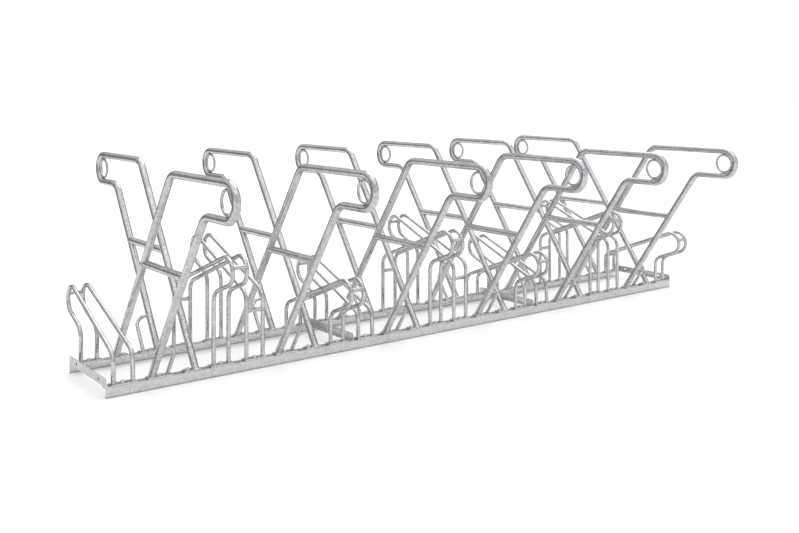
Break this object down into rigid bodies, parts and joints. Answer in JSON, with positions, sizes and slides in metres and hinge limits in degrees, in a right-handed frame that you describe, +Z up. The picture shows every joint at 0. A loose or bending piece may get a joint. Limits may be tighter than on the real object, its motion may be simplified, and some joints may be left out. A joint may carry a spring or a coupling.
{
  "type": "two tier bike rack",
  "caption": "Double-sided bike rack: leaning frames with lock rings and bent wheel holders, alternately low and high, on two angle rails.",
  "frame": {"origin": "on the ground, under the middle of the rack", "axes": "+X along the rails, +Y towards the back row of noses, +Z up"},
  "size_m": [2.994, 1.596, 0.761],
  "materials": {
    "galvanised_angle": "hot-dip galvanised, mottled",
    "galvanised_tube": "hot-dip galvanised, light",
    "galvanised_rod": "hot-dip galvanised"
  },
  "bodies": {
    "root": {"rail_front": "galvanised_angle", "rail_back": "galvanised_angle", "cross_member_1": "galvanised_angle", "cross_member_2": "galvanised_angle", "cross_member_3": "galvanised_angle", "cross_member_4": "galvanised_angle", "lean_frame_back_1": "galvanised_tube", "lean_frame_back_2": "galvanised_tube", "lean_frame_back_3": "galvanised_tube", "lean_frame_back_4": "galvanised_tube", "lean_frame_back_5": "galvanised_tube", "lean_frame_back_6": "galvanised_tube", "lean_frame_front_1": "galvanised_tube", "lean_frame_front_2": "galvanised_tube", "lean_frame_front_3": "galvanised_tube", "lean_frame_front_4": "galvanised_tube", "lean_frame_front_5": "galvanised_tube", "lean_frame_front_6": "galvanised_tube", "lock_ring_back_1": "galvanised_rod", "lock_ring_back_2": "galvanised_rod", "lock_ring_back_3": "galvanised_rod", "lock_ring_back_4": "galvanised_rod", "lock_ring_back_5": "galvanised_rod", "lock_ring_back_6": "galvanised_rod", "lock_ring_front_1": "galvanised_rod", "lock_ring_front_2": "galvanised_rod", "lock_ring_front_3": "galvanised_rod", "lock_ring_front_4": "galvanised_rod", "lock_ring_front_5": "galvanised_rod", "lock_ring_front_6": "galvanised_rod", "wheel_rod_back_1_left": "galvanised_rod", "wheel_rod_back_1_right": "galvanised_rod", "wheel_rod_back_2_left": "galvanised_rod", "wheel_rod_back_2_right": "galvanised_rod", "wheel_rod_back_3_left": "galvanised_rod", "wheel_rod_back_3_right": "galvanised_rod", "wheel_rod_back_4_left": "galvanised_rod", "wheel_rod_back_4_right": "galvanised_rod", "wheel_rod_back_5_left": "galvanised_rod", "wheel_rod_back_5_right": "galvanised_rod", "wheel_rod_back_6_left": "galvanised_rod", "wheel_rod_back_6_right": "galvanised_rod", "wheel_rod_front_1_left": "galvanised_rod", "wheel_rod_front_1_right": "galvanised_rod", "wheel_rod_front_2_left": "galvanised_rod", "wheel_rod_front_2_right": "galvanised_rod", "wheel_rod_front_3_left": "galvanised_rod", "wheel_rod_front_3_right": "galvanised_rod", "wheel_rod_front_4_left": "galvanised_rod", "wheel_rod_front_4_right": "galvanised_rod", "wheel_rod_front_5_left": "galvanised_rod", "wheel_rod_front_5_right": "galvanised_rod", "wheel_rod_front_6_left": "galvanised_rod", "wheel_rod_front_6_right": "galvanised_rod", "post_link_back_2": "galvanised_rod", "post_link_back_4": "galvanised_rod", "post_link_back_6": "galvanised_rod", "post_link_front_1": "galvanised_rod", "post_link_front_3": "galvanised_rod", "post_link_front_5": "galvanised_rod"}
  },
  "joints": []
}
